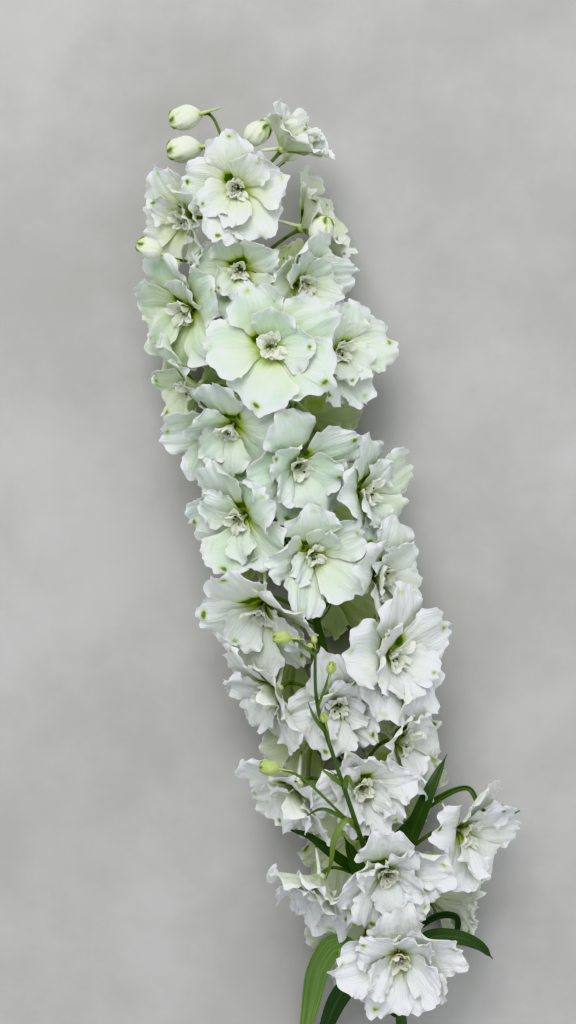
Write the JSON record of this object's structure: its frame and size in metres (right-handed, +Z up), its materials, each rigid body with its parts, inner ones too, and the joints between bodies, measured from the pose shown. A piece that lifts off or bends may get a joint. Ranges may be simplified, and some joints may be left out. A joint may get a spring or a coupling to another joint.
{
  "type": "delphinium flower spike",
  "caption": "Cut white delphinium spike lying on its side: leafy green stem crowded with open five-sepalled florets and pale buds at the tip.",
  "frame": {"origin": "centre of the spike's outline, on the surface that it lies on", "axes": "+Y from the cut end towards the tip, +Z up, out of the surface; the spike's best side looks up"},
  "size_m": [0.1936, 0.5838, 0.1009],
  "materials": {
    "petal": "soft matt white petal with a slight green tint",
    "bud": "pale green-white bud, matt",
    "stem": "smooth green stem, slight sheen",
    "leaf": "dark green leaf, slight sheen"
  },
  "bodies": {
    "root": {"bud_01": "bud", "bud_02": "bud", "bud_03": "bud", "bud_04": "bud", "bud_05": "bud", "bud_06": "bud", "floret_01": "petal", "floret_02": "petal", "floret_03": "petal", "floret_04": "petal", "floret_05": "petal", "floret_06": "petal", "floret_07": "petal", "floret_08": "petal", "floret_09": "petal", "floret_10": "petal", "floret_11": "petal", "floret_12": "petal", "floret_13": "petal", "floret_14": "petal", "floret_15": "petal", "floret_16": "petal", "floret_17": "petal", "floret_18": "petal", "floret_19": "petal", "floret_20": "petal", "floret_21": "petal", "floret_22": "petal", "floret_23": "petal", "floret_24": "petal", "floret_25": "petal", "floret_26": "petal", "floret_27": "petal", "floret_28": "petal", "floret_29": "petal", "floret_30": "petal", "floret_31": "petal", "floret_32": "petal", "floret_33": "petal", "floret_34": "petal", "floret_35": "petal", "floret_36": "petal", "floret_37": "petal", "floret_38": "petal", "floret_39": "petal", "floret_40": "petal", "floret_41": "petal", "leaf_01": "leaf", "leaf_02": "leaf", "leaf_03": "leaf", "leaf_04": "leaf", "leaf_05": "leaf", "leaf_06": "leaf", "leaf_07": "leaf", "leaf_08": "leaf", "stem": "stem"}
  },
  "joints": []
}
